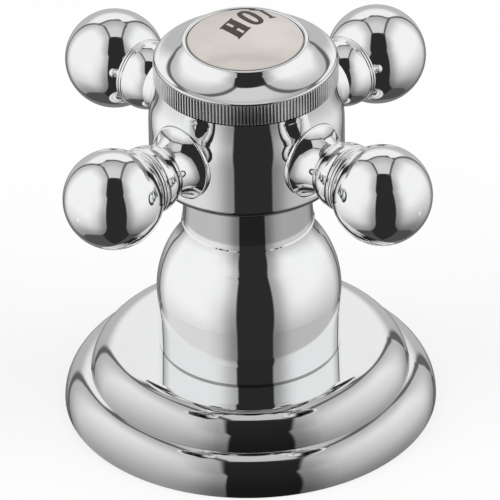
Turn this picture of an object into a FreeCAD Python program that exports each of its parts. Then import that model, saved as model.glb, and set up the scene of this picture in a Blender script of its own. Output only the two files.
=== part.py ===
import FreeCAD, Part

import math
import os
import re

import Sketcher

# Cross handle tap: a deck flange, a bell-shaped cover over a quarter-turn ceramic headwork, and a
# cross handle of four ball-ended arms with a knurled cap and a lettered porcelain button.
# Z runs up the spindle and Z = 0 is the underside of the flange. The arms lie between the axes.

doc = FreeCAD.newDocument("CrossHandleTap")
sheet = doc.addObject("Spreadsheet::Sheet", "Sizes")

SIZES = {
    # flange: two stepped quarter-rounds under a flat seat that carries the bell
    "rim_radius": 29.0,
    "rim_edge": 0.1,
    "lower_bead": 5.6,
    "lower_bead_height": 0.25,
    "groove_inset": 4.15,
    "upper_bead": 5.95,
    "upper_bead_inset": 10.0,
    "upper_bead_height": 4.76,
    "flange_bore": 13.0,
    "collar_wall": 1.6,
    "collar_drop": 8.7,
    "flange_wall": 1.6,
    "gasket_inset": 1.8,
    "gasket_width": 3.0,
    "gasket_depth": 1.2,
    "gasket_land": 1.0,
    # bell cover
    "bell_foot": 14.15,
    "bell_radius": 14.35,
    "bell_wall": 1.35,
    "bell_haunch": 1.55,
    "bell_web_edge": 2.0,
    "bell_web_rise": 0.7,
    "shoulder_height": 20.3,
    "shoulder_share": 0.7,
    "crease_radius": 10.3,
    "crease_height": 32.8,
    "crease_step": 0.15,
    "neck_radius": 9.6,
    "neck_bore": 8.2,
    "neck_plain": 41.3,
    "neck_top": 44.8,
    "web_height": 24.5,
    "web_thickness": 2.0,
    # headwork body
    "cage_radius": 8.9,
    "cage_bore": 7.9,
    "cage_foot": 0.3,
    "cage_roof": 8.4,
    "window_foot": 4.8,
    "window_top": 7.6,
    "window_span": 64.0,
    "valve_thread": 10.48,
    "valve_thread_foot": 8.8,
    "valve_thread_end": 0.6,
    "thread_relief": 0.9,
    "thread_relief_height": 1.6,
    "hex_foot": 16.0,
    "hex_top": 21.6,
    "hex_flats": 21.0,
    "barrel_radius": 8.6,
    "barrel_overlap": 1.0,
    "gland_radius": 6.0,
    "gland_top": 34.0,
    "gland_edge": 0.5,
    "washer_thickness": 1.4,
    "washer_outer": 12.3,
    # bell fixing
    "fixing_washer": 0.8,
    "nut_radius": 7.9,
    "nut_height": 4.0,
    "nut_slot": 1.6,
    "nut_slot_depth": 1.4,
    # ceramic discs and their seal
    "seal_thickness": 1.4,
    "seal_inner": 6.2,
    "fixed_disc_thickness": 2.5,
    "moving_disc_thickness": 2.0,
    "disc_gap": 0.1,
    "port_inner": 2.2,
    "port_outer": 6.0,
    "port_span": 76.0,
    # spindle
    "spindle_radius": 4.0,
    "foot_radius": 7.4,
    "foot_thickness": 1.4,
    "dog_width": 3.0,
    "dog_depth": 1.0,
    "ring_groove_depth": 0.85,
    "ring_groove_width": 1.1,
    "lower_ring_height": 14.0,
    "upper_ring_height": 19.0,
    "ring_section": 0.4,
    "clip_groove_depth": 0.6,
    "clip_thickness": 0.8,
    "clip_outer": 5.3,
    "clip_mouth": 70.0,
    "spline_foot": 44.9,
    "spline_teeth": 20.0,
    "spline_depth": 0.45,
    "spline_root": 0.3,
    "spline_lean": 0.333,
    "spindle_top": 53.2,
    "screw_depth": 9.0,
    # handle hub
    "hub_radius": 15.05,
    "hub_foot": 41.7,
    "hub_corner": 1.4,
    "hub_top_radius": 14.1,
    "hub_top": 58.1,
    "swell_foot": 51.0,
    "swell_top": 57.2,
    "bush_bore": 6.0,
    "hub_roof": 45.2,
    "hub_floor": 53.6,
    "cap_thread": 12.0,
    "skirt_bore": 12.4,
    # arms
    "arm_heading": 45.0,
    "arm_height": 49.4,
    "arm_seat": 13.6,
    "spigot_radius": 3.0,
    "spigot_length": 3.2,
    "flare_radius": 5.9,
    "flare_edge": 0.75,
    "flare_round": 0.25,
    "waist_reach": 18.2,
    "waist_radius": 4.35,
    "flank_reach": 21.6,
    "flank_radius": 5.35,
    "bead_radius": 5.25,
    "bead_width": 0.5,
    "bead_round": 0.28,
    "bead_groove": 0.2,
    "ball_reach": 28.73,
    "ball_radius": 7.71,
    # handle screw
    "screw_radius": 1.95,
    "screw_head": 3.8,
    "screw_head_height": 2.4,
    "screw_head_round": 0.8,
    "screw_length": 8.0,
    "screw_slot": 1.0,
    "screw_slot_depth": 1.2,
    "hub_washer_outer": 7.6,
    "hub_washer_thickness": 0.8,
    # knurled cap and button
    "rim_outer": 14.2,
    "rim_chamfer": 0.25,
    "rim_height": 3.4,
    "rim_land": 0.4,
    "scoop_round": 9.0,
    "scoop_rise": 1.6,
    "lip_foot": 10.4,
    "lip_radius": 9.7,
    "lip_height": 65.0,
    "lip_round": 0.4,
    "button_radius": 9.0,
    "button_seat": 63.2,
    "button_edge": 64.7,
    "button_bevel": 0.25,
    "button_top": 65.9,
    "cap_roof": 1.8,
    "skirt_length": 3.3,
    "skirt_wall": 1.3,
    "cap_ring_section": 0.5,
    "cap_ring_drop": 0.9,
    # clearances
    "seat_gap": 0.05,
    "running_gap": 0.06,
    "face_gap": 0.1,
    "socket_gap": 0.2,
    # how far a cut runs past the surface that it opens
    "cut_over": 1.0,
}

for row, (name, value) in enumerate(SIZES.items(), start=1):
    sheet.set("A%d" % row, name)
    sheet.set("B%d" % row, str(value))
    sheet.setAlias("B%d" % row, name)
doc.recompute()


def ref(text):
    """Turn size names in a formula into references to the sheet."""
    return re.sub(r"[a-z][a-z_]+",
                  lambda word: "Sizes." + word[0] if word[0] in SIZES else word[0], text)


def value_of(text):
    """The present value of a formula."""
    return float(sheet.evalExpression(ref(text)))


def plane(body, role):
    return next(item for item in body.Origin.OriginFeatures if item.Role == role)


def new_body(label):
    body = doc.addObject("PartDesign::Body", label)
    body.Label = label
    return body


def new_sketch(body, name, role, offset=None):
    sketch = body.newObject("Sketcher::SketchObject", body.Name + "_" + name)
    sketch.AttachmentSupport = [(plane(body, role), "")]
    sketch.MapMode = "FlatFace"
    if offset is not None:
        lift = FreeCAD.Vector(0, 0, value_of(offset))
        sketch.AttachmentOffset = FreeCAD.Placement(lift, FreeCAD.Rotation())
        sketch.setExpression("AttachmentOffset.Base.z", ref(offset))
    return sketch


def bind(sketch, constraint, formula):
    index = sketch.addConstraint(constraint)
    sketch.setExpression("Constraints[%d]" % index, ref(formula))


def pin_point(sketch, edge, end, x_text, y_text):
    """Hold one end of an edge at a place given by two formulas."""
    for kind, text, axis in (("DistanceX", x_text, -2), ("DistanceY", y_text, -1)):
        if text == "0":
            sketch.addConstraint(Sketcher.Constraint("PointOnObject", edge, end, axis))
        else:
            bind(sketch, Sketcher.Constraint(kind, -1, 1, edge, end, value_of(text)), text)


def draw(sketch, corners):
    """Close an outline through corners (x, y), each with the bend of the edge that leaves it:
    nothing for a straight edge, or ("left" or "right", radius) for an arc that turns that way."""
    places = [FreeCAD.Vector(value_of(corner[0]), value_of(corner[1]), 0) for corner in corners]
    ends = []
    for number, corner in enumerate(corners):
        start = places[number]
        finish = places[(number + 1) % len(corners)]
        if len(corner) == 2:
            edge = sketch.addGeometry(Part.LineSegment(start, finish), False)
            ends.append((edge, 1, 2))
            continue
        turn, radius_text = corner[2]
        radius = value_of(radius_text)
        chord = finish - start
        across = FreeCAD.Vector(-chord.y, chord.x, 0).normalize()
        rise = math.sqrt(max(radius ** 2 - chord.Length ** 2 / 4, 0))
        side = 1 if turn == "left" else -1
        centre = (start + finish) * 0.5 + across * rise * side
        first, last = (start, finish) if turn == "left" else (finish, start)
        from_angle = math.atan2(first.y - centre.y, first.x - centre.x)
        to_angle = math.atan2(last.y - centre.y, last.x - centre.x)
        if to_angle <= from_angle:
            to_angle += 2 * math.pi
        circle = Part.Circle(centre, FreeCAD.Vector(0, 0, 1), radius)
        edge = sketch.addGeometry(Part.ArcOfCircle(circle, from_angle, to_angle), False)
        ends.append((edge, 1, 2) if turn == "left" else (edge, 2, 1))
    for number, (edge, start, finish) in enumerate(ends):
        following, next_start, _ = ends[(number + 1) % len(ends)]
        sketch.addConstraint(Sketcher.Constraint("Coincident", edge, finish, following, next_start))
    for corner, (edge, start, finish) in zip(corners, ends):
        pin_point(sketch, edge, start, corner[0], corner[1])
        if len(corner) == 3:
            radius_text = corner[2][1]
            bind(sketch, Sketcher.Constraint("Radius", edge, value_of(radius_text)), radius_text)


def rectangle(x_low, y_low, x_high, y_high):
    return [(x_low, y_low), (x_high, y_low), (x_high, y_high), (x_low, y_high)]


def ogee(start, finish, share, upright, turns):
    """Two tangent arcs in a row that leave start and meet finish in the same direction, upright or
    level. The first takes its share of the way. Returns start and the joint, each with its bend."""
    run = "((%s) - (%s))" % (finish[0], start[0])
    rise = "((%s) - (%s))" % (finish[1], start[1])
    total = "((%s^2 + %s^2) / (2 * abs(%s)))" % (run, rise, run if upright else rise)
    joint = ("(%s) + %s * %s" % (start[0], share, run), "(%s) + %s * %s" % (start[1], share, rise))
    return [start + ((turns[0], "%s * %s" % (share, total)),),
            joint + ((turns[1], "(1 - %s) * %s" % (share, total)),)]


def turned(body, corners, axis="V_Axis", name="profile"):
    """Add a solid of revolution about the upright or the level axis of its sketch."""
    sketch = new_sketch(body, name, "XZ_Plane")
    draw(sketch, corners)
    solid = body.newObject("PartDesign::Revolution", body.Name + "_" + name + "_turned")
    solid.Profile = sketch
    solid.ReferenceAxis = (sketch, [axis])
    solid.Angle = 360
    sketch.Visibility = False
    doc.recompute()
    return solid


def checked_cut(body, feature, before):
    doc.recompute()
    if feature.Shape.Volume >= before - 1e-6:
        raise RuntimeError(feature.Name + " removes nothing")
    return feature


def turned_cut(body, corners, span, name):
    """Cut a profile swept through part of a turn, centred on the X axis."""
    before = body.Shape.Volume
    sketch = new_sketch(body, name, "XZ_Plane")
    draw(sketch, corners)
    cut = body.newObject("PartDesign::Groove", body.Name + "_" + name + "_cut")
    cut.Profile = sketch
    cut.ReferenceAxis = (sketch, ["V_Axis"])
    cut.Midplane = True
    cut.setExpression("Angle", ref(span))
    return checked_cut(body, cut, before)


def pocket(body, sketch, depth, outward=False):
    """Cut a sketch to a depth against its normal, or along it when outward."""
    before = body.Shape.Volume
    cut = body.newObject("PartDesign::Pocket", sketch.Name + "_cut")
    cut.Profile = sketch
    cut.Reversed = outward
    cut.setExpression("Length", ref(depth))
    return checked_cut(body, cut, before)


def upright(heading):
    """A placement turned about the Z axis, in degrees."""
    return FreeCAD.Placement(FreeCAD.Vector(), FreeCAD.Rotation(FreeCAD.Vector(0, 0, 1), heading))


def padded_up(body, sketch, height, downward=False):
    """Raise a solid from a sketch, along its normal or against it."""
    pad = body.newObject("PartDesign::Pad", sketch.Name + "_pad")
    pad.Profile = sketch
    pad.Reversed = downward
    pad.setExpression("Length", ref(height))
    doc.recompute()
    return pad


def round_about(body, features, count, name):
    """Repeat features evenly about the Z axis."""
    pattern = body.newObject("PartDesign::PolarPattern", body.Name + "_" + name)
    pattern.Originals = features
    pattern.Axis = (plane(body, "Z_Axis"), [""])
    pattern.Angle = 360
    pattern.setExpression("Occurrences", ref(count))
    body.Tip = pattern
    doc.recompute()
    return pattern


def circle_sketch(body, name, role, offset, x_text, y_text, radius):
    sketch = new_sketch(body, name, role, offset)
    place = FreeCAD.Vector(value_of(x_text), value_of(y_text), 0)
    edge = sketch.addGeometry(Part.Circle(place, FreeCAD.Vector(0, 0, 1), value_of(radius)), False)
    pin_point(sketch, edge, 3, x_text, y_text)
    bind(sketch, Sketcher.Constraint("Radius", edge, value_of(radius)), radius)
    return sketch


def ring(label, inner, outer, foot, top):
    """A flat washer or plain bush."""
    body = new_body(label)
    turned(body, rectangle(inner, foot, outer, top))
    return body


def o_ring(label, middle, section, height):
    """A rubber ring of round section."""
    body = doc.addObject("Part::Torus", label)
    body.Label = label
    body.setExpression("Radius1", ref(middle))
    body.setExpression("Radius2", ref(section))
    body.setExpression("Placement.Base.z", ref(height))
    return body


# heights and radii that several pieces share
SEAT = "(upper_bead_height + upper_bead)"
GROOVE = "(rim_radius - groove_inset)"
BELL_BEND = ("(shoulder_share * ((bell_radius - crease_radius)^2 + (crease_height - shoulder_height)^2)"
             " / (2 * (bell_radius - crease_radius)))")
UPPER_BEAD_MIDDLE = "(rim_radius - upper_bead_inset)"
GASKET_OUTER = "(rim_radius - gasket_inset)"
GASKET_INNER = "(rim_radius - gasket_inset - gasket_width)"
FIXED_DISC_FOOT = "(cage_foot + seal_thickness)"
MOVING_DISC_FOOT = "(%s + fixed_disc_thickness)" % FIXED_DISC_FOOT
SPINDLE_FOOT = "(%s + moving_disc_thickness + disc_gap)" % MOVING_DISC_FOOT
SPINDLE_FOOT_TOP = "(%s + foot_thickness)" % SPINDLE_FOOT
WEB_TOP = "(web_height + web_thickness)"
NUT_FOOT = "(%s + fixing_washer)" % WEB_TOP
CLIP_FOOT = "(gland_top + face_gap)"
RIM_FOOT = "(hub_top + face_gap)"
RIM_TOP = "(%s + rim_height)" % RIM_FOOT
SKIRT_OUTER = "(cap_thread - running_gap)"
SKIRT_INNER = "(cap_thread - running_gap - skirt_wall)"
CAP_RING_HEIGHT = "(hub_top - cap_ring_drop)"
CAP_RING_MIDDLE = "(cap_thread - running_gap - cap_ring_section)"


def make_flange():
    body = new_body("flange")
    lower_top = (GROOVE, "lower_bead_height + sqrt(lower_bead^2 - (groove_inset - lower_bead)^2)")
    upper_foot = "upper_bead_height + sqrt(upper_bead^2 - (upper_bead_inset - groove_inset)^2)"
    under_seat = SEAT + " - flange_wall"
    turned(body, [
        ("rim_radius - rim_edge", "0"),
        ("rim_radius", "rim_edge"),
        ("rim_radius", "lower_bead_height", ("left", "lower_bead")),
        lower_top,
        (GROOVE, upper_foot, ("left", "upper_bead")),
        (UPPER_BEAD_MIDDLE, SEAT),
        ("flange_bore", SEAT),
        ("flange_bore", SEAT + " - collar_drop"),
        ("flange_bore + collar_wall", SEAT + " - collar_drop"),
        ("flange_bore + collar_wall", under_seat),
        (UPPER_BEAD_MIDDLE, under_seat, ("right", "(upper_bead - flange_wall)")),
        (UPPER_BEAD_MIDDLE + " + upper_bead - flange_wall", "upper_bead_height"),
        (GASKET_INNER + " - gasket_land", "0"),
        (GASKET_INNER, "0"),
        (GASKET_INNER, "gasket_depth"),
        (GASKET_OUTER, "gasket_depth"),
        (GASKET_OUTER, "0"),
    ])
    return body


def make_bell():
    body = new_body("bell_sleeve")
    slope_top = ("crease_radius - crease_step", "crease_height + crease_step")
    haunch_height = "(%s + bell_web_rise)" % WEB_TOP
    haunch = ("bell_radius - bell_haunch - %s + sqrt(%s^2 - (%s - shoulder_height)^2)"
              % (BELL_BEND, BELL_BEND, haunch_height))
    turned(body, [
        ("flange_bore", SEAT),
        ("bell_foot", SEAT),
    ] + ogee(("bell_radius", "shoulder_height"), ("crease_radius", "crease_height"),
             "shoulder_share", True, ("left", "right")) + [
        ("crease_radius", "crease_height"),
        slope_top,
        ("neck_radius", "neck_plain"),
        ("neck_radius", "neck_top"),
        ("neck_bore", "neck_top"),
        ("neck_bore", "crease_height - bell_wall"),
        (haunch, haunch_height),
        (haunch, WEB_TOP),
        ("gland_radius + seat_gap", WEB_TOP),
        ("gland_radius + seat_gap", "web_height"),
        ("bell_radius - bell_web_edge", "web_height"),
        ("flange_bore", "shoulder_height"),
    ])
    return body


def make_bonnet():
    body = new_body("bonnet")
    turned(body, [
        ("cage_bore", "cage_foot"),
        ("cage_radius", "cage_foot"),
        ("cage_radius", "valve_thread_foot"),
        ("valve_thread - valve_thread_end", "valve_thread_foot"),
        ("valve_thread", "valve_thread_foot + valve_thread_end"),
        ("valve_thread", "hex_foot - thread_relief_height"),
        ("valve_thread - thread_relief", "hex_foot - thread_relief_height"),
        ("valve_thread - thread_relief", "hex_foot"),
        ("barrel_radius", "hex_foot"),
        ("barrel_radius", "web_height"),
        ("gland_radius", "web_height"),
        ("gland_radius", "gland_top - gland_edge"),
        ("gland_radius - gland_edge", "gland_top"),
        ("spindle_radius + running_gap", "gland_top"),
        ("spindle_radius + running_gap", "cage_roof"),
        ("cage_bore", "cage_roof"),
    ])
    hexagon = new_sketch(body, "hexagon", "XY_Plane", "hex_foot")
    corner = value_of("hex_flats / sqrt(3)")
    corners = []
    for turn in range(6):
        angle = math.radians(60 * turn)
        corners.append(FreeCAD.Vector(corner * math.cos(angle), corner * math.sin(angle), 0))
    edges = []
    for turn in range(6):
        edges.append(hexagon.addGeometry(Part.LineSegment(corners[turn], corners[(turn + 1) % 6]), False))
    circle = Part.Circle(FreeCAD.Vector(), FreeCAD.Vector(0, 0, 1), corner)
    guide = hexagon.addGeometry(circle, True)
    hexagon.addConstraint(Sketcher.Constraint("Coincident", guide, 3, -1, 1))
    bind(hexagon, Sketcher.Constraint("Radius", guide, corner), "hex_flats / sqrt(3)")
    for turn in range(6):
        hexagon.addConstraint(Sketcher.Constraint("Coincident", edges[turn], 2, edges[(turn + 1) % 6], 1))
        hexagon.addConstraint(Sketcher.Constraint("PointOnObject", edges[turn], 1, guide))
        if turn:
            hexagon.addConstraint(Sketcher.Constraint("Equal", edges[0], edges[turn]))
    hexagon.addConstraint(Sketcher.Constraint("PointOnObject", edges[0], 1, -1))
    inside = "barrel_radius - barrel_overlap"
    round_hole = Part.Circle(FreeCAD.Vector(), FreeCAD.Vector(0, 0, 1), value_of(inside))
    opening = hexagon.addGeometry(round_hole, False)
    hexagon.addConstraint(Sketcher.Constraint("Coincident", opening, 3, -1, 1))
    bind(hexagon, Sketcher.Constraint("Radius", opening, value_of(inside)), inside)
    padded_up(body, hexagon, "hex_top - hex_foot")
    window_outline = rectangle("cage_bore - cut_over", "window_foot", "cage_radius + cut_over", "window_top")
    window = turned_cut(body, window_outline, "window_span", "window")
    round_about(body, [window], "2", "windows")
    return body


def make_disc(label, radius, port_reach, foot, thickness):
    """A ceramic disc with two opposite ports."""
    body = new_body(label)
    top = "%s + %s" % (foot, thickness)
    turned(body, rectangle("0", foot, radius, top))
    port_outline = rectangle("port_inner", foot + " - cut_over", port_reach, top + " + cut_over")
    port = turned_cut(body, port_outline, "port_span", "port")
    round_about(body, [port], "2", "ports")
    return body


def make_moving_disc():
    """The disc that the spindle turns. Its ports run out to the rim and at rest lie a quarter turn
    from those of the fixed disc, so that the tap is shut."""
    body = make_disc("moving_disc", "foot_radius", "foot_radius + cut_over", MOVING_DISC_FOOT,
                     "moving_disc_thickness")
    slot = new_sketch(body, "slot", "XY_Plane", MOVING_DISC_FOOT + " + moving_disc_thickness")
    half = "(dog_width / 2 + running_gap)"
    draw(slot, rectangle("-%s" % half, "-foot_radius - cut_over", half, "foot_radius + cut_over"))
    pocket(body, slot, "dog_depth + disc_gap")
    body.Placement = upright(90)
    return body


def make_bell_nut():
    body = new_body("bell_nut")
    top = "(%s + nut_height)" % NUT_FOOT
    turned(body, rectangle("gland_radius + seat_gap", NUT_FOOT, "nut_radius", top))
    slot = new_sketch(body, "slot", "XY_Plane", top)
    draw(slot, rectangle("gland_radius - cut_over", "-nut_slot / 2",
                         "nut_radius + cut_over", "nut_slot / 2"))
    round_about(body, [pocket(body, slot, "nut_slot_depth")], "4", "slots")
    return body


def spline_outline(tip_gap, flank_gap):
    """One spline, wider outwards, seen along the spindle: the groove, or with gaps the tooth in it."""
    tip = "(spindle_radius - spline_depth + %s)" % tip_gap
    tip_half = "(spline_root / 2 + spline_lean * %s - %s)" % (tip_gap, flank_gap)
    back = "(spindle_radius + spline_depth)"
    back_half = "(spline_root / 2 + spline_lean * 2 * spline_depth - %s)" % flank_gap
    return [(tip, "-" + tip_half), (back, "-" + back_half), (back, back_half), (tip, tip_half)]


def make_spindle():
    body = new_body("spindle")
    corners = [
        ("0", SPINDLE_FOOT),
        ("foot_radius", SPINDLE_FOOT),
        ("foot_radius", SPINDLE_FOOT_TOP),
        ("spindle_radius", SPINDLE_FOOT_TOP),
    ]
    clip_middle = "(%s + clip_thickness / 2)" % CLIP_FOOT
    grooves = (("lower_ring_height", "ring_groove_width", "ring_groove_depth"),
               ("upper_ring_height", "ring_groove_width", "ring_groove_depth"),
               (clip_middle, "(clip_thickness + 2 * seat_gap)", "clip_groove_depth"))
    for middle, width, depth in grooves:
        corners += [
            ("spindle_radius", "%s - %s / 2" % (middle, width)),
            ("spindle_radius - %s" % depth, "%s - %s / 2" % (middle, width)),
            ("spindle_radius - %s" % depth, "%s + %s / 2" % (middle, width)),
            ("spindle_radius", "%s + %s / 2" % (middle, width)),
        ]
    corners += [
        ("spindle_radius", "spindle_top"),
        ("screw_radius", "spindle_top"),
        ("screw_radius", "spindle_top - screw_depth"),
        ("0", "spindle_top - screw_depth"),
    ]
    turned(body, corners)
    dog = new_sketch(body, "dog", "XY_Plane", SPINDLE_FOOT)
    reach = "(foot_radius - dog_depth)"
    draw(dog, rectangle("-" + reach, "-dog_width / 2", reach, "dog_width / 2"))
    padded_up(body, dog, "dog_depth", downward=True)
    groove = new_sketch(body, "spline", "XY_Plane", "spindle_top")
    draw(groove, spline_outline("0", "0"))
    round_about(body, [pocket(body, groove, "spindle_top - spline_foot")], "spline_teeth", "splines")
    return body


def make_spline_bush():
    """The bush in the hub whose teeth stand in the grooves of the spindle."""
    body = ring("spline_bush", "spindle_radius + seat_gap", "bush_bore", "hub_roof", "hub_floor")
    tooth = new_sketch(body, "tooth", "XY_Plane", "hub_roof")
    draw(tooth, spline_outline("face_gap", "seat_gap"))
    round_about(body, [padded_up(body, tooth, "hub_floor - hub_roof")], "spline_teeth", "teeth")
    return body


def make_clip():
    body = new_body("spindle_clip")
    inner = "spindle_radius - clip_groove_depth + seat_gap"
    top = CLIP_FOOT + " + clip_thickness"
    turned(body, rectangle(inner, CLIP_FOOT, "clip_outer", top))
    mouth = rectangle("spindle_radius - cut_over", CLIP_FOOT + " - cut_over", "clip_outer + cut_over",
                      top + " + cut_over")
    turned_cut(body, mouth, "clip_mouth", "mouth")
    return body


def make_hub():
    body = new_body("handle_hub")
    turned(body, [
        ("skirt_bore", "hub_foot"),
        ("hub_radius - hub_corner", "hub_foot", ("left", "hub_corner")),
        ("hub_radius", "hub_foot + hub_corner"),
    ] + ogee(("hub_radius", "swell_foot"), ("hub_top_radius", "swell_top"), 0.5, True,
             ("left", "right")) + [
        ("hub_top_radius", "swell_top"),
        ("hub_top_radius", "hub_top"),
        ("cap_thread", "hub_top"),
        ("cap_thread", "hub_floor"),
        ("bush_bore + seat_gap", "hub_floor"),
        ("bush_bore + seat_gap", "hub_roof"),
        ("skirt_bore", "hub_roof"),
    ])
    seat = circle_sketch(body, "seat", "YZ_Plane", "arm_seat", "0", "arm_height", "flare_radius + seat_gap")
    seat_cut = pocket(body, seat, "hub_radius", outward=True)
    socket = circle_sketch(body, "socket", "YZ_Plane", "arm_seat", "0", "arm_height",
                           "spigot_radius + seat_gap")
    socket_cut = pocket(body, socket, "spigot_length + socket_gap")
    round_about(body, [seat_cut, socket_cut], "4", "sockets")
    body.Placement = upright(value_of("arm_heading"))
    return body


def make_arm(label, heading):
    body = new_body(label)
    ball_joint = "ball_reach - sqrt(ball_radius^2 - bead_radius^2)"
    flare_end = "arm_seat + flare_edge + flare_round"
    flare_bend = ("((waist_reach - (%s))^2 + (flare_radius - flare_round - waist_radius)^2)"
                  " / (2 * (flare_radius - flare_round - waist_radius))" % flare_end)
    flank_bend = ("((flank_reach - waist_reach)^2 + (flank_radius - waist_radius)^2)"
                  " / (2 * (flank_radius - waist_radius))")
    turned(body, [
        ("arm_seat - spigot_length", "0"),
        ("arm_seat - spigot_length", "spigot_radius"),
        ("arm_seat", "spigot_radius"),
        ("arm_seat", "flare_radius"),
        ("arm_seat + flare_edge", "flare_radius", ("right", "flare_round")),
        (flare_end, "flare_radius - flare_round", ("left", flare_bend)),
        ("waist_reach", "waist_radius", ("right", flank_bend)),
        ("flank_reach", "flank_radius"),
        ("flank_reach", "flank_radius - bead_groove"),
        ("(%s) - 2 * bead_width" % ball_joint, "bead_radius", ("right", "bead_round")),
        ("(%s) - bead_width" % ball_joint, "bead_radius", ("right", "bead_round")),
        (ball_joint, "bead_radius", ("right", "ball_radius")),
        ("ball_reach + ball_radius", "0"),
    ], axis="H_Axis")
    body.Placement = upright(heading)
    body.setExpression("Placement.Base.z", ref("arm_height"))
    return body


def make_screw():
    body = new_body("handle_screw")
    head_foot = "(hub_floor + hub_washer_thickness)"
    head_top = "(%s + screw_head_height)" % head_foot
    turned(body, [
        ("0", "%s - screw_length" % head_foot),
        ("screw_radius - seat_gap", "%s - screw_length" % head_foot),
        ("screw_radius - seat_gap", head_foot),
        ("screw_head", head_foot),
        ("screw_head", head_top + " - screw_head_round", ("left", "screw_head_round")),
        ("screw_head - screw_head_round", head_top),
        ("0", head_top),
    ])
    slot = new_sketch(body, "slot", "XY_Plane", head_top)
    draw(slot, rectangle("-screw_head - cut_over", "-screw_slot / 2",
                         "screw_head + cut_over", "screw_slot / 2"))
    pocket(body, slot, "screw_slot_depth")
    return body


def make_cap():
    body = new_body("index_cap")
    groove_reach = "(%s - 2 * cap_ring_section - seat_gap)" % SKIRT_OUTER
    groove_foot = "(%s - cap_ring_section - seat_gap)" % CAP_RING_HEIGHT
    groove_top = "(%s + cap_ring_section + seat_gap)" % CAP_RING_HEIGHT
    turned(body, [
        (SKIRT_INNER, "hub_top - skirt_length"),
        (SKIRT_OUTER, "hub_top - skirt_length"),
        (SKIRT_OUTER, groove_foot),
        (groove_reach, groove_foot),
        (groove_reach, groove_top),
        (SKIRT_OUTER, groove_top),
        (SKIRT_OUTER, RIM_FOOT),
        ("rim_outer - rim_chamfer", RIM_FOOT),
        ("rim_outer", RIM_FOOT + " + rim_chamfer"),
        ("rim_outer", RIM_TOP + " - rim_chamfer"),
        ("rim_outer - rim_chamfer", RIM_TOP),
        ("rim_outer - rim_chamfer - rim_land", RIM_TOP, ("right", "scoop_round")),
        ("lip_foot", RIM_TOP + " + scoop_rise"),
        ("lip_radius", "lip_height - lip_round / 2", ("left", "lip_round")),
        ("button_radius + seat_gap", "lip_height - lip_round / 2"),
        ("button_radius + seat_gap", "button_seat"),
        ("0", "button_seat"),
        ("0", "button_seat - cap_roof"),
        (SKIRT_INNER + " - skirt_wall", "button_seat - cap_roof"),
        (SKIRT_INNER, "button_seat - cap_roof - skirt_wall"),
    ])
    return body


def make_button():
    body = new_body("index_button")
    edge = "(button_radius - button_bevel)"
    crown = "(button_top - button_edge - button_bevel)"
    crown_radius = "(%s^2 + %s^2) / (2 * %s)" % (edge, crown, crown)
    turned(body, [
        ("0", "button_seat"),
        ("button_radius", "button_seat"),
        ("button_radius", "button_edge"),
        (edge, "button_edge + button_bevel", ("left", crown_radius)),
        ("0", "button_top"),
    ])
    return body


pieces = [
    make_flange(),
    ring("flange_gasket", GASKET_INNER + " + seat_gap", GASKET_OUTER + " - seat_gap", "0", "gasket_depth"),
    make_bell(),
    ring("bell_washer", "gland_radius + seat_gap", "nut_radius", WEB_TOP, NUT_FOOT),
    make_bell_nut(),
    make_bonnet(),
    ring("valve_washer", "valve_thread - thread_relief + seat_gap", "washer_outer",
         "hex_foot - washer_thickness", "hex_foot"),
    ring("seat_seal", "seal_inner", "cage_bore - seat_gap", "cage_foot", FIXED_DISC_FOOT),
    make_disc("fixed_disc", "cage_bore - seat_gap", "port_outer", FIXED_DISC_FOOT, "fixed_disc_thickness"),
    make_moving_disc(),
    make_spindle(),
    ring("friction_washer", "spindle_radius + running_gap", "foot_radius", SPINDLE_FOOT_TOP + " + face_gap",
         "cage_roof"),
    o_ring("spindle_ring_lower", "spindle_radius - ring_section", "ring_section", "lower_ring_height"),
    o_ring("spindle_ring_upper", "spindle_radius - ring_section", "ring_section", "upper_ring_height"),
    make_clip(),
    make_spline_bush(),
    make_hub(),
    ring("guide_bush", "neck_radius + running_gap", "skirt_bore - seat_gap",
         "hub_foot + hub_corner", "hub_roof"),
    ring("hub_washer", "screw_radius + seat_gap", "hub_washer_outer", "hub_floor",
         "hub_floor + hub_washer_thickness"),
    make_screw(),
    make_cap(),
    o_ring("cap_ring", CAP_RING_MIDDLE, "cap_ring_section", CAP_RING_HEIGHT),
    make_button(),
]
for quarter, label in enumerate(("arm_rear_right", "arm_rear_left", "arm_front_left", "arm_front_right")):
    pieces.append(make_arm(label, value_of("arm_heading") + 90 * quarter))

doc.recompute()
for item in doc.Objects:
    if "Invalid" in item.State or "Error" in item.State:
        raise RuntimeError("%s failed to build" % item.Name)

os.makedirs("parts", exist_ok=True)
for piece in pieces:
    shape = piece.Shape
    if shape.isNull() or not shape.isValid() or len(shape.Solids) != 1:
        raise RuntimeError("%s has no sound solid" % piece.Label)
    shape.exportStep(os.path.join("parts", piece.Label + ".step"))
    box = shape.BoundBox
    print("%-20s volume %9.2f  z %6.2f to %6.2f" % (piece.Label, shape.Volume, box.ZMin, box.ZMax))
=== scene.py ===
import math

import bmesh
import bpy
from bpy.props import FloatProperty, FloatVectorProperty, IntProperty, PointerProperty
from mathutils import Matrix, Vector


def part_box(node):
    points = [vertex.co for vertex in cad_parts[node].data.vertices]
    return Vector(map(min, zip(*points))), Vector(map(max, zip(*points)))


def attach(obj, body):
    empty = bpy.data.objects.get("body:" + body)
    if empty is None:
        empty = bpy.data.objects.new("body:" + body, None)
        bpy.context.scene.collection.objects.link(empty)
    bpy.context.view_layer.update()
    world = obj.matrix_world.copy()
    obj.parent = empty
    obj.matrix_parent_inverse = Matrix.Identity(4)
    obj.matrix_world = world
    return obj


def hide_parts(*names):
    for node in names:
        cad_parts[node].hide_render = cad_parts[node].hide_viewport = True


bl_info = {
    "name": "Cross Handle Tap",
    "version": (1, 0, 0),
    "blender": (4, 5, 0),
    "location": "View3D > Sidebar > Tap",
    "description": "Finishes a chromium plated cross handle tap and sets it on a pale floor",
    "category": "Object",
}

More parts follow.
